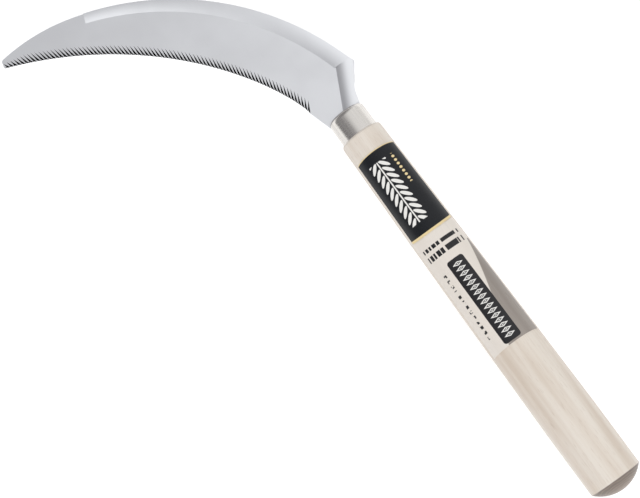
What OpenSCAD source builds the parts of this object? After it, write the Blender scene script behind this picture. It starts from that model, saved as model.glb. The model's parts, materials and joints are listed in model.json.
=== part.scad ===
// Serrated rice sickle: a pressed stainless blade with a fine saw edge, let into
// a turned wooden handle through a slotted steel ferrule. It lies on its back,
// with the handle along X and the butt's rim at the origin, on the handle's axis.
// It is drawn flat and then rolled about that axis, so that the butt and the tip
// of the blade both touch the ground. Millimetres.

/* [Handle] */
// Diameter of the parallel grip at the butt
butt_d = 28; // [24:0.5:32]
// Diameter of the handle at the shoulder under the ferrule
shoulder_d = 22.6; // [21.2:0.2:26]
// Length of the parallel grip from the rim of the butt
grip_len = 36; // [24:1:60]
// Length of the wood from the rim of the butt to the shoulder
wood_len = 208; // [170:1:240]
// Height of the turned dome on the butt
dome_h = 6.2; // [3:0.2:8]
// Swell of the taper's sides between the grip and the shoulder
taper_swell = 0.3; // [0:0.05:0.6]
// Rounding of the shoulder's edge
shoulder_r = 1.4; // [0.6:0.1:1.6]

/* [Ferrule] */
// Outer diameter of the ferrule
ferrule_d = 20; // [18.5:0.5:20.5]
// Length of the ferrule from the shoulder to its closed end
ferrule_len = 13.6; // [10:0.2:18]
// Sheet thickness of the ferrule
ferrule_wall = 0.6; // [0.4:0.1:1]
// Rounding of the ferrule's closed end
ferrule_r = 2.6; // [1.5:0.1:3.5]
// Depth of the slot that the neck of the blade sits in
slot_depth = 3; // [1.5:0.5:4]

/* [Blade sheet] */
// Thickness of the blade's sheet
blade_t = 1.1; // [0.8:0.1:1.6]
// Distance from the ferrule's end to the elbow of the spine
neck_len = 18.8; // [14:0.2:26]
// Distance of the elbow from the handle's axis
elbow_out = 19.6; // [15:0.5:23]
// Distance from the axis to the neck's back edge, at the ferrule
neck_back = 8.4; // [7:0.2:9.2]
// Distance from the axis to the neck's front edge, at the ferrule
neck_front = 9.8; // [8.5:0.1:9.9]
// Distance of the bend in the neck's back edge from the ferrule's end
neck_bend = 7.2; // [5:0.2:10]
// How far that bend stands out from the axis
bend_out = 11.4; // [10:0.2:13]
// Rounding of that bend
bend_r = 9; // [5:1:14]
// Rounding of the elbow and of the tip's corners
corner_r = 1.4; // [0.4:0.2:1.8]

/* [Blade curve] */
// Angle of the spine from the handle's axis, where it leaves the elbow
spine_angle = 19; // [10:1:30]
// Length of the straight spine after the elbow
spine_straight = 10.6; // [4:0.5:20]
// Radius of the spine along the back of the blade
spine_radius = 147.7; // [120:1:180]
// Turn of the spine along that radius
spine_sweep = 56; // [45:1:62]
// Radius of the spine near the tip
tip_radius = 100.5; // [75:0.5:115]
// Turn of the spine near the tip
tip_sweep = 22.2; // [16:0.2:28]
// Width of the blunt end of the tip
tip_w = 4; // [3:0.2:7]
// Slant of the tip's blunt end, from the spine's radius there
tip_slant = 22; // [5:1:40]
// Distance from the ferrule's end to the heel of the saw edge
heel_len = 9.4; // [7:0.2:12]
// Distance from the handle's axis to the heel
heel_out = 13.6; // [12:0.2:16]
// Slope of the cutting edge at the tip, from the handle's axis
edge_angle = 68; // [62:1:74]
// How far the cutting edge holds that slope before it curves
edge_pull = 90; // [70:1:100]
// How far the cutting edge runs along the axis at the heel before it curves
heel_pull = 10.5; // [5:0.5:20]

/* [Bead] */
// Width of the pressed bead that stiffens the spine
bead_w = 9; // [7:0.2:11]
// Height of the bead over the sheet
bead_h = 0.9; // [0.5:0.1:1.2]
// Distance from the spine to the bead's inner side, midway along the blade
bead_in = 6.7; // [5:0.1:9]
// How far the bead's circle is moved off the spine's, out at the tip and in at the elbow
bead_shift = 4; // [0:0.2:6]
// Turn of the spine where the bead is ground off, back from its radius's end
bead_stop = 5; // [2:0.5:10]
// How far past the elbow the spine's bead meets the neck's
bead_corner = 2.6; // [0:0.2:3]
// Distance from the neck's back edge to the middle of its bead, at the ferrule
neck_bead_inset = 4; // [1:0.2:5]
// Flat neck left between the ferrule and the neck's bead
neck_bead_gap = 0.5; // [0.2:0.1:2]

/* [Saw edge] */
// Distance from one tooth to the next, along the edge
tooth_pitch = 2; // [1.6:0.1:3]
// Number of teeth
tooth_count = 81; // [60:1:81]
// Distance of the first tooth from the tip
tooth_start = 1.6; // [1:0.2:4]
// Length of a tooth's groove on the sheet
groove_len = 5.6; // [4:0.2:7]
// Length of a groove at the very tip
groove_len_tip = 2.4; // [1.6:0.2:4]
// How much longer the grooves get for each millimetre from the tip
groove_growth = 0.22; // [0.1:0.02:0.5]
// Width of a groove at the edge
groove_w = 1.15; // [0.8:0.05:1.3]
// How far a groove's bottom lies under the sheet's top at the edge
groove_depth = 1.3; // [0.9:0.05:1.6]
// Share of a groove's width that is its long side
groove_slant = 0.85; // [0.5:0.05:0.95]
// Lean of the grooves at the tip, from square to the edge
lean_tip = 33; // [20:1:40]
// Lean of the grooves at the heel
lean_heel = 43; // [30:1:50]

/* [Tang] */
// Width of the tang
tang_w = 10; // [7:0.5:12]
// Length of the tang in the wood
tang_len = 62; // [45:1:90]
// Length of the tang's point
tang_point = 3.4; // [2:0.2:8]
// How much each side of the tang draws in towards the point
tang_taper = 1; // [0:0.1:2]
// Diameter of the nail through the tang
nail_d = 2.6; // [2:0.1:3.2]
// Diameter of the nail's blunt point
nail_point_d = 0.6; // [0.4:0.1:1]
// Distance of the nail from the shoulder
nail_x = 5.2; // [3.5:0.1:6]
// How far the nail runs past the tang into the wood
nail_bite = 6; // [3:0.5:7]
// Diameter of the nail's head
nail_head_d = 4.6; // [3.8:0.2:5.5]
// Height of the nail's head
nail_head_h = 0.9; // [0.6:0.1:1.2]

/* [Labels] */
// Thickness of the paper labels
label_t = 0.16; // [0.1:0.02:0.3]
// Distance from the front label to the shoulder
front_label_gap = 13; // [10:0.5:20]
// Length of the front label
front_label_len = 47; // [35:1:55]
// Angle that the front label wraps round the handle
front_label_wrap = 133; // [100:1:160]
// Bow of the labels' ends
label_bow = 1; // [0:0.1:2]
// Bare wood between the two labels
label_seam = 0.4; // [0.2:0.1:3]
// Length of the second label, which follows the front one
info_label_len = 68; // [50:1:72]
// Angle that the second label wraps round the handle
info_label_wrap = 140; // [100:1:160]

/* [Fits] */
// Clearance between pieces that are fitted together
fit_gap = 0.05; // [0.03:0.01:0.1]
// Clearance at the bottom of the slots and at the end of the tang
end_gap = 0.2; // [0.1:0.1:0.5]

/* [Hidden] */
$fn = 96;
wood_color = "#e6dccf";
steel_color = "#d3d6da";
ferrule_color = "#c9c7c4";
nail_color = "#a9a7a4";
front_label_color = "#14171c";
info_label_color = "#d9d2cb";

ferrule_end = wood_len + ferrule_len;
shoulder_x = ferrule_end - slot_depth;
spigot_r = ferrule_d / 2 - ferrule_wall - fit_gap;
cap_r = (butt_d * butt_d / 4 + dome_h * dome_h) / (2 * dome_h);
slot_t = blade_t + 2 * fit_gap;

// How far shapes that are cut or joined run past each other, and a length that
// is past the whole tool.
past = 1;
far = 2 * wood_len;

// The outline of the blade is followed from the elbow along the spine to the tip.
elbow = [ferrule_end + neck_len, -elbow_out];
function dir(a) = [cos(a), sin(a)];
spine_1 = elbow + spine_straight * dir(spine_angle);
spine_centre = spine_1 + spine_radius * dir(spine_angle + 90);
spine_from = spine_angle - 90;
spine_to = spine_from + spine_sweep;
tip_centre = spine_centre + (spine_radius - tip_radius) * dir(spine_to);
tip_to = spine_to + tip_sweep;
spine_tip = tip_centre + tip_radius * dir(tip_to);
edge_tip = spine_tip + tip_w * dir(tip_to + 180 - tip_slant);
heel = [ferrule_end + heel_len, heel_out];

function arc(c, r, from, to, n) = [for (i = [0:n]) c + r * dir(from + (to - from) * i / n)];

// The cutting edge is one cubic curve from the tip to the heel.
edge_p1 = edge_tip - edge_pull * dir(edge_angle);
edge_p2 = heel + [heel_pull, 0];
function edge_at(t) = pow(1 - t, 3) * edge_tip + 3 * pow(1 - t, 2) * t * edge_p1
    + 3 * (1 - t) * t * t * edge_p2 + pow(t, 3) * heel;
edge_steps = 60;
edge_points = [for (i = [0:edge_steps]) edge_at(i / edge_steps)];

// Running length of the edge against the curve's own parameter.
function run(i) = i == 0 ? 0 : run(i - 1) + norm(edge_points[i] - edge_points[i - 1]);
edge_table = [for (i = [0:edge_steps]) [run(i), i / edge_steps]];
edge_length = run(edge_steps);
teeth = min(tooth_count, floor((edge_length - tooth_start) / tooth_pitch) + 1);

// A rounded corner at p, on the way from a to b.
function unit(v) = v / norm(v);
function rounded(a, p, b, r, n) = let(
        u = unit(a - p),
        v = unit(b - p),
        half = acos(u * v) / 2,
        centre = p + unit(u + v) * r / sin(half),
        from = p + u * r / tan(half) - centre,
        to = p + v * r / tan(half) - centre
    ) [for (i = [0:n]) centre + r * unit(from + (to - from) * i / n)];

neck_root = [shoulder_x, -neck_back];
neck_knee = [ferrule_end + neck_bend, -bend_out];
corner_steps = 5;
spine_steps = 40;
tip_steps = 16;
spine_arc = arc(spine_centre, spine_radius, spine_from, spine_to, spine_steps);
tip_arc = arc(tip_centre, tip_radius, spine_to, tip_to, tip_steps);
blade_outline = concat(
    [neck_root],
    rounded(neck_root, neck_knee, elbow, bend_r, corner_steps),
    rounded(neck_knee, elbow, spine_1, corner_r, corner_steps),
    spine_arc,
    [for (i = [1:tip_steps - 1]) tip_arc[i]],
    rounded(tip_arc[tip_steps - 1], spine_tip, edge_tip, corner_r, corner_steps),
    rounded(spine_tip, edge_tip, edge_points[1], corner_r / 2, corner_steps),
    [for (i = [1:edge_steps]) edge_points[i]],
    [[shoulder_x, neck_front]]
);
tip_y = max([for (p = blade_outline) p.y]);
roll = asin((butt_d - blade_t) / 2 / tip_y);

// The bead's section is a segment of a circle. The spine's bead follows a circle
// a little off the spine's own centre, and the neck's bead is straight.
bead_r = (bead_w * bead_w / 4 + bead_h * bead_h) / (2 * bead_h);
bead_mid = (spine_from + spine_to) / 2;
bead_centre = spine_centre + bead_shift * dir(bead_mid + 90);
bead_ring = spine_radius - bead_in + bead_w / 2;
bead_meet = [elbow.x + bead_corner, -elbow_out + bead_w / 2];
neck_bead_end = [ferrule_end, neck_bead_inset - neck_back];
neck_bead_run = bead_meet - neck_bead_end;

// Puts a flat drawing in place: the roll that brings the blade's tip to the ground.
module rolled() rotate([-roll, 0, 0]) children();

// Turns a shape that stands on Z so that it lies along the handle's axis.
module lengthwise() rotate([0, 90, 0]) children();

module blade_sheet() translate([0, 0, -blade_t / 2]) linear_extrude(blade_t)
    polygon(blade_outline);

tang_end = shoulder_x - tang_len;
module tang_sheet() translate([0, 0, -blade_t / 2]) linear_extrude(blade_t) polygon([
    [shoulder_x + past, -tang_w / 2],
    [shoulder_x + past, tang_w / 2],
    [tang_end + tang_point, tang_w / 2 - tang_taper],
    [tang_end, 0],
    [tang_end + tang_point, tang_taper - tang_w / 2],
]);

// Section of the bead, its foot on the sheet's middle plane.
module bead_section() intersection() {
    translate([0, blade_t / 2 + bead_h - bead_r]) circle(bead_r);
    translate([-bead_w, 0]) square([2 * bead_w, blade_t + bead_h]);
}

module spine_bead() intersection() {
    translate(bead_centre) rotate([0, 0, -90])
        rotate_extrude(angle = 90 + spine_to - bead_stop, $fn = 180)
            translate([bead_ring, 0]) bead_section();
    translate([bead_meet.x, -far, -far]) cube(2 * far);
}

module neck_bead() intersection() {
    translate(neck_bead_end - bead_w * unit(neck_bead_run))
        rotate([0, 0, atan2(neck_bead_run.y, neck_bead_run.x)]) rotate([90, 0, 90])
            linear_extrude(norm(neck_bead_run) + 2 * bead_w) bead_section();
    translate([ferrule_end + neck_bead_gap, -far, -far])
        cube([bead_meet.x - ferrule_end - neck_bead_gap, 2 * far, 2 * far]);
}

module beads() {
    spine_bead();
    neck_bead();
}

// One groove of the saw edge: a leaning V that is deepest at the edge and runs
// out on the top of the sheet. It is drawn larger than its section by spare.
module groove(s) {
    t = lookup(s, edge_table);
    at = edge_at(t);
    ahead = edge_at(t + 1 / edge_steps) - edge_at(t - 1 / edge_steps);
    lean = lean_tip + (lean_heel - lean_tip) * s / edge_length;
    inward = atan2(ahead.y, ahead.x) + 90 + lean;
    len = min(groove_len, groove_len_tip + groove_growth * s);
    spare = 1.2;
    tall = groove_depth * spare;
    wide = groove_w * spare;
    translate([at.x, at.y, blade_t / 2] + len * [cos(inward), sin(inward), 0])
        rotate([0, 0, inward + 180]) rotate([0, atan(groove_depth / len), 0])
            rotate([90, 0, 90]) linear_extrude(len + 2 * past)
                polygon([[0, 0], [wide * groove_slant, tall], [wide * (groove_slant - 1), tall]]);
}

module blade() color(steel_color) rolled() difference() {
    union() {
        blade_sheet();
        tang_sheet();
        intersection() {
            beads();
            translate([0, 0, -past]) linear_extrude(blade_t + bead_h + 2 * past)
                polygon(blade_outline);
        }
    }
    translate([0, 0, -blade_t]) beads();
    for (i = [0:teeth - 1]) groove(tooth_start + i * tooth_pitch);
    nail_hole(nail_bite);
}

// The nail's hole, from behind the tool to a height over the axis.
module nail_hole(height) translate([wood_len + nail_x, 0, -far])
    cylinder(d = nail_d + 2 * fit_gap, h = far + height);

module ferrule() color(ferrule_color) rolled() difference() {
    lengthwise() translate([0, 0, wood_len]) difference() {
        rotate_extrude() cup_half(ferrule_d / 2, ferrule_len, ferrule_r);
        translate([0, 0, -past]) rotate_extrude()
            cup_half(ferrule_d / 2 - ferrule_wall, ferrule_len - ferrule_wall + past,
                ferrule_r - ferrule_wall);
    }
    neck_slot();
    nail_hole(0);
}

// The slot across the end of the ferrule and of the wood in it.
module neck_slot() translate([shoulder_x - end_gap, -far, -slot_t / 2])
    cube([far, 2 * far, slot_t]);

// Half section of a round cup or plug with a rounded end.
module cup_half(r, len, corner) {
    square([r - corner, len]);
    square([r, len - corner]);
    intersection() {
        translate([r - corner, len - corner]) circle(corner);
        square([r, len]);
    }
}

// Radius of the wood at a distance along the taper, and the points of its side,
// grown for a label.
taper_end = wood_len - shoulder_r;
taper_steps = 8;
function wood_r(x) = let(u = (x - grip_len) / (taper_end - grip_len))
    (butt_d + (shoulder_d - butt_d) * u) / 2 + 4 * taper_swell * u * (1 - u);
function taper(grow) = [for (i = [0:taper_steps])
    let(x = grip_len + (taper_end - grip_len) * i / taper_steps) [wood_r(x) + grow, x]];
function back(points) = [for (i = [len(points) - 1:-1:0]) points[i]];

// Half section of the turned wood, from the dome on the butt to the spigot.
module wood_half() {
    intersection() {
        translate([0, cap_r - dome_h]) circle(cap_r);
        translate([0, -dome_h]) square([butt_d, dome_h]);
    }
    polygon([
        [0, 0],
        [butt_d / 2, 0],
        each taper(0),
        [shoulder_d / 2 - shoulder_r, taper_end],
        [shoulder_d / 2 - shoulder_r, wood_len],
        [0, wood_len],
    ]);
    translate([shoulder_d / 2 - shoulder_r, taper_end]) intersection() {
        circle(shoulder_r);
        square(shoulder_r);
    }
    translate([0, wood_len])
        cup_half(spigot_r, ferrule_len - ferrule_wall - end_gap, ferrule_r - ferrule_wall);
}

module handle() color(wood_color) rolled() difference() {
    lengthwise() rotate_extrude() wood_half();
    neck_slot();
    translate([tang_end - end_gap, -tang_w / 2 - fit_gap, -slot_t / 2])
        cube([far, tang_w + 2 * fit_gap, slot_t]);
    nail_hole(nail_bite + end_gap);
}

// The nail goes in from the back, through the ferrule and the tang.
module tang_nail() color(nail_color) rolled() {
    translate([wood_len + nail_x, 0, -ferrule_d / 2]) {
        cylinder(d = nail_d, h = ferrule_d / 2 + nail_bite - nail_d);
        translate([0, 0, ferrule_d / 2 + nail_bite - nail_d])
            cylinder(d1 = nail_d, d2 = nail_point_d, h = nail_d);
    }
    difference() {
        translate([wood_len + nail_x, 0, -ferrule_d / 2 - nail_head_h])
            cylinder(d = nail_head_d, h = 2 * nail_head_h);
        lengthwise() cylinder(d = ferrule_d, h = ferrule_end);
    }
}

// A label is a thin skin on the wood, trimmed to its outline as seen from above.
// Its ends bow along the handle by low_bow and high_bow.
label_steps = 16;
module label(from, to, wrap, low_bow, high_bow) {
    half = wrap / 2;
    step = wrap / label_steps;
    low = [for (a = [-half:step:half])
        [from + low_bow * (1 - pow(a / half, 2)), wood_r(from) * sin(a)]];
    high = [for (a = [half:-step:-half])
        [to + high_bow * (1 - pow(a / half, 2)), wood_r(to) * sin(a)]];
    rolled() intersection() {
        lengthwise() rotate_extrude()
            polygon(concat(taper(fit_gap), back(taper(fit_gap + label_t))));
        linear_extrude(butt_d) polygon(concat(low, high));
    }
}

front_label_to = wood_len - front_label_gap;
front_label_from = front_label_to - front_label_len;
info_label_to = front_label_from - label_seam;

module front_label() color(front_label_color)
    label(front_label_from, front_label_to, front_label_wrap, -label_bow, label_bow);

module info_label() color(info_label_color)
    label(info_label_to - info_label_len, info_label_to, info_label_wrap, label_bow, -label_bow);

handle();
ferrule();
blade();
tang_nail();
front_label();
info_label();
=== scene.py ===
import json
import math

import bpy
import numpy as np
from mathutils import Matrix, Vector


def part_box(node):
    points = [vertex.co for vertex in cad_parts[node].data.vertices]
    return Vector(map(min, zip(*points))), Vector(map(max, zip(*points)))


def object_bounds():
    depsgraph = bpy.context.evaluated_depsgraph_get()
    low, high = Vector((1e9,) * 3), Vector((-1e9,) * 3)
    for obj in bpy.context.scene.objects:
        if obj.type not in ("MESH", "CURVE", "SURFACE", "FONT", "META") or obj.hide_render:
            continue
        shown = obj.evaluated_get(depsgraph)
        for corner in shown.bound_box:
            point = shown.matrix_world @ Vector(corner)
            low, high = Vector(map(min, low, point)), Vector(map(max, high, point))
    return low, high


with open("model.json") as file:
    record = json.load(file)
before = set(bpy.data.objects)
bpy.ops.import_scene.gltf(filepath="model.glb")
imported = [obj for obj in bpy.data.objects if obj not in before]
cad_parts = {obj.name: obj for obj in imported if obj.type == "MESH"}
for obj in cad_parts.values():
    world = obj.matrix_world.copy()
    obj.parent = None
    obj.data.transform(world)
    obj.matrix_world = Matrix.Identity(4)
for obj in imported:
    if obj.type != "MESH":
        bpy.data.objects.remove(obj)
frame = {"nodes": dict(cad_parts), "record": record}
cad_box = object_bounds()

# The camera looks almost straight down on the front of the blade, with the handle running
# down to the right. The sickle lies rolled about the handle's axis, so TOOL turns places
# measured square to the blade into this frame: X along the handle, Y towards the curve.
MM = 0.001
GRIP_R = frame["record"]["mounts"][0]["dims"]["r_mm"] * MM
SHEET_T = 1.1 * MM
ROLL = math.atan2(GRIP_R - SHEET_T / 2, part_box("blade")[1][1])
TOOL = Matrix.Rotation(-ROLL, 3, "X")
IMAGE_W = 640
FOCAL_PX = 1800
SENSOR_W = 36
NEAR_CLIP = 0.05
CAMERA_AT = Vector((42.8, 49.5, 877.0)) * MM
CAMERA_RIGHT = Vector((-0.58206, -0.80848, -0.08699))
CAMERA_UP = Vector((0.79960, -0.58852, 0.11950))
camera = bpy.data.objects.new("camera", bpy.data.cameras.new("camera"))
camera.data.sensor_width = SENSOR_W
camera.data.lens = SENSOR_W * FOCAL_PX / IMAGE_W
camera.data.clip_start = NEAR_CLIP
right = (TOOL @ CAMERA_RIGHT).normalized()
up = (TOOL @ (CAMERA_UP - CAMERA_UP.dot(CAMERA_RIGHT) * CAMERA_RIGHT)).normalized()
turn = Matrix((right, up, right.cross(up))).transposed()
camera.matrix_world = Matrix.Translation(TOOL @ CAMERA_AT) @ turn.to_4x4()
bpy.context.scene.collection.objects.link(camera)
bpy.context.scene.camera = camera


# The handle is one turned piece of pale hardwood, sanded, with a thin clear coat. Long
# grain runs down it in fine brown streaks and pores. The dome on the butt is painted dark,
# darker still towards its rim: partly its end grain, which drinks the finish, and partly
# painted shade.
class Val:
    """A shader socket that plain Python can add, subtract, multiply and divide."""

    def __init__(self, tree, socket):
        self.tree = tree
        self.socket = socket

    def node(self, kind, settings=None, out=0, **values):
        """Adds a node, with its settings set first and then its input sockets, by name or as _0, _1."""
        made = self.tree.nodes.new(kind)
        for key, value in (settings or {}).items():
            setattr(made, key, value)
        for key, value in values.items():
            put = made.inputs[int(key[1:])] if key[0] == "_" else made.inputs[key.replace("_", " ")]
            if isinstance(value, Val):
                self.tree.links.new(value.socket, put)
            elif put.type == "RGBA":
                put.default_value = (*value, 1)
            else:
                put.default_value = value
        return Val(self.tree, made.outputs[out])

    def math(self, what, other=0.0):
        """One Math node on this value and another."""
        return self.node("ShaderNodeMath", {"operation": what}, _0=self, _1=other)

    def __add__(self, other):
        return self.math("ADD", other)

    def __radd__(self, other):
        return self.math("ADD", other)

    def __sub__(self, other):
        return self.math("SUBTRACT", other)

    def __rsub__(self, other):
        return self.node("ShaderNodeMath", {"operation": "SUBTRACT"}, _0=other, _1=self)

    def __mul__(self, other):
        return self.math("MULTIPLY", other)

    def __rmul__(self, other):
        return self.math("MULTIPLY", other)

    def __truediv__(self, other):
        return self.math("DIVIDE", other)

    def __abs__(self):
        return self.math("ABSOLUTE")

    def step(self, low, high):
        """Rises smoothly from 0 at low to 1 at high, or falls where low is the larger."""
        smooth = {"interpolation_type": "SMOOTHSTEP"}
        return self.node("ShaderNodeMapRange", smooth, Value=self, From_Min=low, From_Max=high)

    def band(self, low, high, soft):
        """1 between low and high, with soft edges."""
        return self.step(low - soft, low + soft) * self.step(high + soft, high - soft)

    def mix(self, first, second):
        """Colour that goes from first to second as this value goes from 0 to 1."""
        return self.node("ShaderNodeMix", {"data_type": "RGBA"}, 2, _0=self, _6=first, _7=second)

    def noise(self, stretch, size, detail=3.0, offset=0.0):
        """Noise on a place stretched by three factors, with features of about size metres."""
        place = self.node("ShaderNodeVectorMath", {"operation": "MULTIPLY"}, _0=self, _1=stretch)
        moved = place.node("ShaderNodeVectorMath", {"operation": "ADD"}, _0=place, _1=(offset,) * 3)
        return moved.node("ShaderNodeTexNoise", _0=moved, Scale=1 / size, Detail=detail)

    def part(self, axis):
        """One number of a vector, by its axis, X, Y or Z."""
        return self.node("ShaderNodeSeparateXYZ", out=axis, _0=self)


class Finish:
    """A material that knows each point's place in the tool's own axes, x along the handle."""

    def __init__(self, name):
        self.material = bpy.data.materials.new(name)
        self.material.use_nodes = True
        self.shader = self.material.node_tree.nodes["Principled BSDF"]
        start = Val(self.material.node_tree, None)
        place = start.node("ShaderNodeTexCoord", out="Object")
        self.place = start.node("ShaderNodeMapping", _0=place, Rotation=(ROLL, 0, 0))
        self.x, self.y, self.z = (self.place.part(axis) for axis in "XYZ")

    def put(self, **values):
        """Sets or links the shader's sockets."""
        for key, value in values.items():
            socket = self.shader.inputs[key.replace("_", " ")]
            if isinstance(value, Val):
                self.material.node_tree.links.new(value.socket, socket)
            elif hasattr(value, "__len__"):
                socket.default_value = (*value, 1)
            else:
                socket.default_value = value

    def bump(self, height, depth, strength):
        """Raises the surface by a height from 0 to 1, times depth in metres."""
        self.put(Normal=height.node("ShaderNodeBump", Height=height, Distance=depth, Strength=strength))

    def give(self, name):
        """Puts this finish on a CAD node."""
        mesh = frame["nodes"][name].data
        mesh.materials.clear()
        mesh.materials.append(self.material)


PALE =(0.80, 0.735, 0.655)
STREAK = (0.66, 0.565, 0.47)
PORE = (0.45, 0.34, 0.25)
END_GRAIN_AND_SHADE = (0.24, 0.185, 0.145)
END_DARK = (0.15, 0.118, 0.098)
BUTT_EDGE = 0.25 * MM
GROWTH_W = 7 * MM
STREAK_W = 1.1 * MM
PORE_W = 0.35 * MM
PORE_SHIFT = 3.1
RING_PITCH = 1.6 * MM
RING_WANDER = 4 * MM
GRAIN_RELIEF = 0.05 * MM

wood = Finish("turned_wood")
growth = wood.place.noise((0.07, 1.0, 1.0), GROWTH_W, 2.0)
streaks = wood.place.noise((0.02, 1.0, 1.0), STREAK_W)
pores = wood.place.noise((0.06, 1.0, 1.0), PORE_W, 1.0, PORE_SHIFT)
board = (growth * 0.75).step(0.25, 0.55).mix(PALE, STREAK)
board = (streaks.step(0.52, 0.74) * 0.38).mix(board, STREAK)
board = (pores.step(0.60, 0.74) * 0.30).mix(board, PORE)
from_axis = (wood.y * wood.y + wood.z * wood.z).math("SQRT")
rings = ((from_axis + growth * RING_WANDER) * (2 * math.pi / RING_PITCH)).math("SINE")
# The butt dome's colour is end grain and painted shade together, darker still towards its rim.
end_tone = (from_axis / GRIP_R).step(0.25, 1.05).mix(END_GRAIN_AND_SHADE, END_DARK)
end_tone = (rings.step(0.2, 1.0) * 0.22).mix(end_tone, PORE)
on_end = wood.x.step(BUTT_EDGE, -BUTT_EDGE)
wood.put(Base_Color=on_end.mix(board, end_tone), Roughness=0.42 + on_end * 0.12 + streaks * 0.1)
wood.put(Coat_Weight=0.35, Coat_Roughness=0.22)
wood.bump(streaks * 0.7 + pores * 0.5, GRAIN_RELIEF, 0.5)
wood.give("handle")

# The ferrule is a cup pressed from bright thin sheet and driven onto the wood, so its side
# carries faint drawing lines along it and fine polishing lines round it.
FERRULE_STEEL = (0.70, 0.675, 0.64)
FERRULE_SHADE = (0.48, 0.455, 0.44)
DRAW_LINE_W = 1.6 * MM
POLISH_W = 0.25 * MM
FERRULE_RELIEF = 0.03 * MM

cup = Finish("pressed_ferrule_steel")
drawn = cup.place.noise((0.05, 1.0, 1.0), DRAW_LINE_W)
polished = cup.place.noise((1.0, 0.03, 0.03), POLISH_W, 2.0)
cup.put(Base_Color=(drawn.step(0.45, 0.75) * 0.5).mix(FERRULE_STEEL, FERRULE_SHADE), Metallic=1.0)
cup.put(Roughness=0.15 + polished * 0.12 + drawn * 0.08)
cup.bump(drawn * 0.6 + polished * 0.2, FERRULE_RELIEF, 0.6)
cup.give("ferrule")

# The blade is one stamping of satin stainless sheet with a bead pressed along its back.
# Each tooth is a groove cut across the sheet's front, whose steep walls are painted black
# as painted shade next to the bright lands, and the sheet has rolling lines along the handle's axis.
BLADE_STEEL = (0.90, 0.915, 0.94)
BLADE_CLOUD = (0.80, 0.81, 0.835)
GROOVE_PAINTED_SHADE = (0.004, 0.004, 0.005)
SPINE_X = 202.3 * MM
SPINE_Y = 123.6 * MM
SPINE_RIM = 143.5 * MM
NECK_LEN = 9 * MM
NECK_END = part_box("ferrule")[1][0] + NECK_LEN
LAND_FACING = 0.90
WALL_FACING = 0.84
SHADE_SOFT = 1 * MM
EVEN = (1.0, 1.0, 1.0)
ROLLING_W = 0.22 * MM
CLOUD_W = 22 * MM
SCUFF_W = 0.9 * MM
SCUFF_SHIFT = 1.7
STEEL_RELIEF = 0.012 * MM

steel = Finish("satin_blade_steel")
rolling = steel.place.noise((0.03, 1.0, 1.0), ROLLING_W, 2.0)
clouds = steel.place.noise(EVEN, CLOUD_W, 2.0)
scuffs = steel.place.noise((0.12, 1.0, 1.0), SCUFF_W, offset=SCUFF_SHIFT)
normal = steel.place.node("ShaderNodeNewGeometry", out="Normal")
facing = normal.node("ShaderNodeMapping", {"vector_type": "NORMAL"}, _0=normal, Rotation=(ROLL, 0, 0))
# Painted shade: the steep walls of the tooth grooves, inside the spine's rim and past the neck, are
# coloured black.
wall = abs(facing.part("Z")).step(LAND_FACING, WALL_FACING)
out_x = steel.x - SPINE_X
out_y = steel.y - SPINE_Y
from_centre = (out_x * out_x + out_y * out_y).math("SQRT")
past_neck = steel.x.step(NECK_END, NECK_END + SHADE_SOFT)
groove_shade = wall * (from_centre.step(SPINE_RIM, SPINE_RIM - SHADE_SOFT) * past_neck)
sheet = (clouds.step(0.35, 0.75) * 0.45).mix(BLADE_STEEL, BLADE_CLOUD)
sheet = (scuffs.step(0.62, 0.8) * 0.25).mix(sheet, BLADE_CLOUD)
steel.put(Base_Color=groove_shade.mix(sheet, GROOVE_PAINTED_SHADE), Metallic=1.0)
steel.put(Roughness=0.27 + rolling * 0.1 + clouds * 0.08 + groove_shade * 0.3)
steel.bump(rolling * 0.5 + scuffs * 0.3, STEEL_RELIEF, 0.5)
steel.give("blade")

# The nail is plain drawn steel, driven in from the back, and its head carries the hatched
# mark of the die that formed it.
NAIL_STEEL = (0.50, 0.49, 0.48)
NAIL_DULL = (0.30, 0.28, 0.26)
DULL_W = 1.2 * MM
HATCH_PITCH = 0.5 * MM
NAIL_RELIEF = 0.04 * MM

nail = Finish("drawn_nail_steel")
dull = nail.place.noise(EVEN, DULL_W)
hatch = ((nail.x + nail.y) * (2 * math.pi / HATCH_PITCH)).math("SINE")
nail.put(Base_Color=dull.step(0.4, 0.7).mix(NAIL_STEEL, NAIL_DULL), Metallic=1.0)
nail.put(Roughness=0.3 + dull * 0.3)
nail.bump(hatch * 0.5 + dull, NAIL_RELIEF, 0.6)
nail.give("tang_nail")

# The front label is gloss black paper stuck round the wood, with a gold line along its
# sides and head and a gold strip at its foot. Its print is plain ornament: a white ear of
# grain beside a short row of gold dots.
BLACK = (0.0045, 0.0055, 0.0075)
WORN_BLACK = (0.012, 0.014, 0.018)
GOLD = (0.82, 0.66, 0.36)
PAPER_WHITE = (0.86, 0.85, 0.82)
FRONT_R = 12.1 * MM
FRONT_HALF_WRAP = math.radians(133 / 2)
END_BOW = 1 * MM
LINE = 0.5 * MM
LINE_SOFT = 0.15 * MM
STRIP = 1.3 * MM
STRIP_SOFT = 0.2 * MM
EAR_LANE = 2.6 * MM
EAR_FOOT = 7 * MM
EAR_HEAD = 6 * MM
EAR_SOFT = 0.2 * MM
STALK_W = 0.42 * MM
STALK_CORE = 0.28 * MM
GRAIN_PITCH = 3.7 * MM
GRAIN_LEAN = 0.9
GRAIN_LONG = 1.25 * MM
GRAIN_WIDE = 2.3 * MM
GRAIN_OUT = 3.0 * MM
DOT_LANE = -6.4 * MM
DOT_PITCH = 2.2 * MM
DOT_ORIGIN = 22 * MM
DOT_ROW_FOOT = 23 * MM
DOT_LONG = 0.7 * MM
DOT_WIDE = 0.9 * MM
FIBRE_W = 0.4 * MM
FIBRE_RELIEF = 0.01 * MM


def oval(u, v, long, wide):
    """1 where (u / long) squared plus (v / wide) squared is under 1, with a soft edge."""
    return ((u / long) * (u / long) + (v / wide) * (v / wide)).step(1.06, 0.94)


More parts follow.
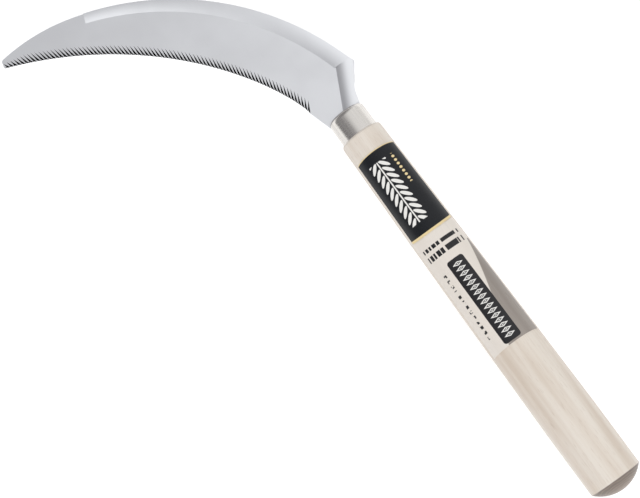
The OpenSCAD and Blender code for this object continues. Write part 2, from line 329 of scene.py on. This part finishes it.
def from_mark(place, pitch):
    """Distance to the nearest of marks one pitch apart, the first at half a pitch.

    Its sign turns from one mark to the next, so only its size or its square is used.
    """
    return place.math("PINGPONG", pitch) - pitch / 2


front = Finish("front_label_print")
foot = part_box("front_label")[0][0]
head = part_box("front_label")[1][0]
angle = front.y.math("ARCTAN2", front.z)
across = angle * FRONT_R
bulge = 1.0 - (angle / FRONT_HALF_WRAP) * (angle / FRONT_HALF_WRAP)
from_head = head - front.x - (END_BOW - bulge * END_BOW)
from_foot = front.x - foot - (END_BOW - bulge * END_BOW)
from_side = (FRONT_HALF_WRAP - abs(angle)) * FRONT_R
line_side = from_side.step(LINE, LINE - LINE_SOFT)
line_head = from_head.step(LINE, LINE - LINE_SOFT)
strip = from_foot.step(STRIP, STRIP - STRIP_SOFT)
spread = abs(across - EAR_LANE)
from_grain = from_mark(front.x + spread * GRAIN_LEAN, GRAIN_PITCH)
grains = oval(from_grain, spread - GRAIN_OUT, GRAIN_LONG, GRAIN_WIDE)
stalk = spread.step(STALK_W, STALK_CORE)
ear = (grains + stalk).math("MINIMUM", 1.0) * front.x.band(foot + EAR_FOOT, head - EAR_HEAD, EAR_SOFT)
from_dot = from_mark(front.x - (head - DOT_ORIGIN), DOT_PITCH)
dots = oval(from_dot, across - DOT_LANE, DOT_LONG, DOT_WIDE)
dots = dots * front.x.band(head - DOT_ROW_FOOT, head - EAR_HEAD, EAR_SOFT)
fibre = front.place.noise(EVEN, FIBRE_W)
black_and_white = ear.mix(fibre.step(0.3, 0.8).mix(BLACK, WORN_BLACK), PAPER_WHITE)
gilded = ((line_side + line_head).math("MINIMUM", 1.0) + strip + dots).math("MINIMUM", 1.0)
front.put(Base_Color=gilded.mix(black_and_white, GOLD), Roughness=0.34 + fibre * 0.1)
front.put(Specular_IOR_Level=0.3)
front.bump(fibre, FIBRE_RELIEF, 0.4)
front.give("front_label")

# The second label is clear and silvery film stuck round the wood. It has two rows of plain
# dark bars across its head, a black panel with white diamonds down its middle, a narrow
# lane of marks at one side, and a grey wedge of painted dark reflection on the film at the other.
FILM_CLEAR = (0.79, 0.735, 0.67)
FILM_PAINTED_REFLECTION = (0.26, 0.225, 0.20)
INK = (0.015, 0.015, 0.017)
FILM_R = 13.1 * MM
PRINT_SOFT = 0.12 * MM
BAR_W = 1.3 * MM
BAR_SHIFT = 5.0
ROW_1 = (8.0 * MM, 6.0 * MM)
ROW_2 = (13.0 * MM, 10.0 * MM)
ROW_SIDES = (-11.5 * MM, 12.0 * MM, 0.15 * MM)
PANEL_MIDDLE = 41.8 * MM
PANEL_WIDE = 4.75 * MM
PANEL_LONG = 24.2 * MM
PANEL_ROUND = 1.5 * MM
PANEL_SOFT = 0.08 * MM
PANEL_MARGIN = 1.6 * MM
MARGIN_SOFT = 0.2 * MM
DIAMOND_PITCH = 2.8 * MM
DIAMOND_LONG = 1.1 * MM
DIAMOND_WIDE = 3.0 * MM
TICK_LONG = 1.5 * MM
MARK_W = 1.5 * MM
MARK_SHIFT = 9.0
LANE_SIDES = (8.4 * MM, 10.2 * MM, 0.1 * MM)
LANE_FOOT = 60 * MM
LANE_HEAD = 21 * MM
LANE_END_SOFT = 0.2 * MM
WEDGE_SIDE = 5.2 * MM
WEDGE_MIDDLE = 40 * MM
WEDGE_SLOPE = 0.32
WEDGE_SOFT = 0.3 * MM
WEDGE_HEAD = 12.5 * MM
WEDGE_HEAD_SOFT = 0.5 * MM
GLARE_W = 5 * MM
GLARE_SHIFT = 2.0
FILM_RELIEF = 0.02 * MM

film = Finish("film_label_print")
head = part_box("info_label")[1][0]
across = film.y.math("ARCTAN2", film.z) * FILM_R
bars = film.place.noise((0.0, 1.0, 1.0), BAR_W, 0.0, BAR_SHIFT).step(0.40, 0.44)
row_1 = film.x.band(head - ROW_1[0], head - ROW_1[1], PRINT_SOFT)
row_2 = film.x.band(head - ROW_2[0], head - ROW_2[1], PRINT_SOFT)
rows = (row_1 + row_2) * bars * across.band(*ROW_SIDES)
panel_at = film.x - (head - PANEL_MIDDLE)
over_x = (abs(panel_at) - (PANEL_LONG - PANEL_ROUND)).math("MAXIMUM", 0.0)
over_y = (abs(across) - (PANEL_WIDE - PANEL_ROUND)).math("MAXIMUM", 0.0)
panel = (over_x * over_x + over_y * over_y).math("SQRT")
panel = panel.step(PANEL_ROUND + PANEL_SOFT, PANEL_ROUND - PANEL_SOFT)
diamond = abs(from_mark(panel_at, DIAMOND_PITCH)) / DIAMOND_LONG + abs(across) / DIAMOND_WIDE
diamonds = diamond.band(0.55, 0.98, 0.04) + diamond.step(0.28, 0.20)
inset = abs(panel_at).step(PANEL_LONG - PANEL_MARGIN, PANEL_LONG - PANEL_MARGIN - MARGIN_SOFT)
tick = (film.x - head).math("PINGPONG", TICK_LONG) / TICK_LONG
lane = across.band(*LANE_SIDES) * film.x.band(head - LANE_FOOT, head - LANE_HEAD, LANE_END_SOFT)
lane_marks = lane * tick.step(0.42, 0.5) * film.place.noise(EVEN, MARK_W, 0.0, MARK_SHIFT).step(0.44, 0.47)
# Painted reflection: the grey wedge below the rows stands for the silvery film mirroring a dark surround.
reflection_wedge = across + WEDGE_SIDE + (film.x - (head - WEDGE_MIDDLE)) * WEDGE_SLOPE
below_rows = film.x.step(head - WEDGE_HEAD, head - WEDGE_HEAD - WEDGE_HEAD_SOFT)
reflection_wedge = reflection_wedge.step(WEDGE_SOFT, -WEDGE_SOFT) * below_rows
glare = film.place.noise((0.1, 1.0, 1.0), GLARE_W, 2.0, GLARE_SHIFT)
ground = (glare.step(0.35, 0.8) * 0.25).mix(FILM_CLEAR, PALE)
ground = (reflection_wedge * (0.75 + glare * 0.3)).mix(ground, FILM_PAINTED_REFLECTION)
printed = (rows + lane_marks).math("MINIMUM", 1.0).mix(ground, INK)
printed = panel.mix(printed, INK)
printed = (panel * diamonds * inset).mix(printed, PAPER_WHITE)
film.put(Base_Color=printed, Roughness=0.22 + glare * 0.12, Specular_IOR_Level=0.35)
film.bump(glare, FILM_RELIEF, 0.3)
film.give("info_label")

# A plain white floor lies just under the tool. It glows a little to the camera and in
# reflections alone, so that it looks white and still keeps the tool's shadow.
FLOOR_HALF = 3.0
FLOOR_DROP = 0.2 * MM
FLOOR_GREY = (0.86, 0.86, 0.86)
FLOOR_GLOW = 0.45

corners = np.array([(-1, -1, 0), (1, -1, 0), (1, 1, 0), (-1, 1, 0)], dtype=float) * FLOOR_HALF
corners[:, 2] = cad_box[0][2] - FLOOR_DROP
floor_mesh = bpy.data.meshes.new("floor")
floor_mesh.from_pydata(corners.tolist(), [], [(0, 1, 2, 3)])
floor = bpy.data.objects.new("floor", floor_mesh)
bpy.context.scene.collection.objects.link(floor)
white = Finish("white_floor")
seen = white.place.node("ShaderNodeLightPath", out="Is Camera Ray")
mirrored = white.place.node("ShaderNodeLightPath", out="Is Glossy Ray")
white.put(Base_Color=FLOOR_GREY, Roughness=0.9, Emission_Color=(1, 1, 1))
white.put(Emission_Strength=(seen + mirrored).math("MINIMUM", 1.0) * FLOOR_GLOW)
floor_mesh.materials.append(white.material)

# The studio is a sky that is pale overhead and on one side and dim on the other, so that
# the steel shows its form, with two large soft lamps. The fill lamp is kept out of
# reflections.
DIM_SIDE = (0.34, 0.335, 0.345)
OVERHEAD = (1.08, 1.08, 1.09)
LIT_SIDE = (1.02, 1.02, 1.01)
LIT_FROM = (-0.80, -0.60, 0.0)
DIM_SPAN = (0.0, -0.60)
LIT_SPAN = (0.10, 0.70)
SKY_STRENGTH = 0.9
AIM = Vector((0.17, 0.04, 0))

world = bpy.data.worlds.new("studio")
bpy.context.scene.world = world
world.use_nodes = True
back = world.node_tree.nodes["Background"]
heading = Val(world.node_tree, None).node("ShaderNodeTexCoord", out="Generated")
slant = heading.node("ShaderNodeVectorMath", {"operation": "DOT_PRODUCT"}, 1, _0=heading, _1=LIT_FROM)
tone = slant.step(*DIM_SPAN).mix(OVERHEAD, DIM_SIDE)
tone = slant.step(*LIT_SPAN).mix(tone, LIT_SIDE)
world.node_tree.links.new(tone.socket, back.inputs["Color"])
back.inputs["Strength"].default_value = SKY_STRENGTH


def lamp(name, at, size, watts, in_reflections):
    """A square area lamp at a place, aimed at the middle of the tool."""
    light = bpy.data.lights.new(name, "AREA")
    light.size = size
    light.energy = watts
    made = bpy.data.objects.new(name, light)
    made.location = at
    made.rotation_euler = (AIM - Vector(at)).to_track_quat("-Z", "Y").to_euler()
    made.visible_glossy = in_reflections
    bpy.context.scene.collection.objects.link(made)


lamp("key", at=(-0.95, 0.15, 1.0), size=0.8, watts=3, in_reflections=True)
lamp("fill", at=(0.3, 1.0, 1.0), size=1.0, watts=5, in_reflections=False)
bpy.context.scene.view_settings.view_transform = "Standard"
